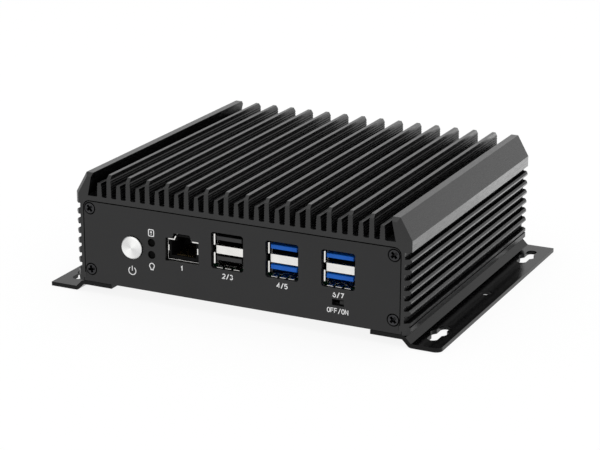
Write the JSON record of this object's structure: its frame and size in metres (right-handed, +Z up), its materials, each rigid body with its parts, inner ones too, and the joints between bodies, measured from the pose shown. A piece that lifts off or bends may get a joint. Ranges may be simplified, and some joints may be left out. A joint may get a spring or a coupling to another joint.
{
  "type": "industrial computer",
  "caption": "Fanless industrial computer in a black finned case, with ports, a power button and a slide switch in front and two keyhole mounting brackets.",
  "frame": {"origin": "under the middle of the object, on the plane that the brackets stand on", "axes": "+X along the width, to the right as seen from the front; +Y from the front to the back; +Z up"},
  "size_m": [0.183, 0.1436, 0.054],
  "materials": {
    "case_black": "black anodised, fine extrusion lines",
    "panel_black": "fine matt powder coat",
    "bracket_black": "fine matt powder coat",
    "cover_black": "fine matt powder coat",
    "screw_black": "black zinc plate",
    "button_silver": "satin, bright edge",
    "switch_black": "moulded",
    "switch_grey": "moulded",
    "lens_dark": "unlit, smoky",
    "shell_silver": "nickel plate, satin",
    "jack_black": "moulded",
    "port_grey": "moulded",
    "port_blue": "moulded",
    "contact_gold": "gold plate",
    "board_green": "solder mask",
    "chip_grey": "nickel plate on a green carrier",
    "pad_grey": "soft pad",
    "block_metal": "sawn and milled",
    "socket_black": "moulded"
  },
  "bodies": {
    "computer": {"heatsink_case": "case_black", "front_panel": "panel_black", "front_panel_screws": "screw_black", "back_panel": "panel_black", "back_panel_screws": "screw_black", "bottom_cover": "cover_black", "left_bracket": "bracket_black", "right_bracket": "bracket_black", "bracket_screws": "screw_black", "mainboard": "board_green", "power_button_switch": "switch_black", "light_holder": "switch_black", "drive_light": "lens_dark", "power_light": "lens_dark", "slide_switch_body": "switch_black", "com_jack_shell": "shell_silver", "com_jack_insert": "jack_black", "com_jack_contacts": "contact_gold", "left_stack_shell": "shell_silver", "left_stack_insert": "port_grey", "left_stack_contacts": "contact_gold", "middle_stack_shell": "shell_silver", "middle_stack_insert": "port_blue", "middle_stack_contacts": "contact_gold", "right_stack_shell": "shell_silver", "right_stack_insert": "port_blue", "right_stack_contacts": "contact_gold", "power_inlet": "switch_black", "power_inlet_pin": "contact_gold", "left_video_shell": "shell_silver", "left_video_insert": "jack_black", "right_video_shell": "shell_silver", "right_video_insert": "jack_black", "first_network_shell": "shell_silver", "first_network_insert": "jack_black", "first_network_contacts": "contact_gold", "second_network_shell": "shell_silver", "second_network_insert": "jack_black", "second_network_contacts": "contact_gold", "processor": "chip_grey", "thermal_pad": "pad_grey", "heat_block": "block_metal", "memory_socket": "socket_black", "memory_module": "board_green", "drive_socket": "socket_black", "drive_module": "board_green", "drive_rest": "socket_black"},
    "power_button": {"power_button": "button_silver"},
    "mode_switch_knob": {"slide_switch_knob": "switch_grey"}
  },
  "joints": [
    {"name": "power_button_press", "type": "slide", "parent": "computer", "child": "power_button", "axis": [0, 1, 0], "range_m": [0, 0.001], "stiffness_N_per_m": 1500, "springref_m": -0.0005},
    {"name": "mode_switch_slide", "type": "slide", "parent": "computer", "child": "mode_switch_knob", "axis": [-1, 0, 0], "range_m": [0, 0.003]}
  ]
}
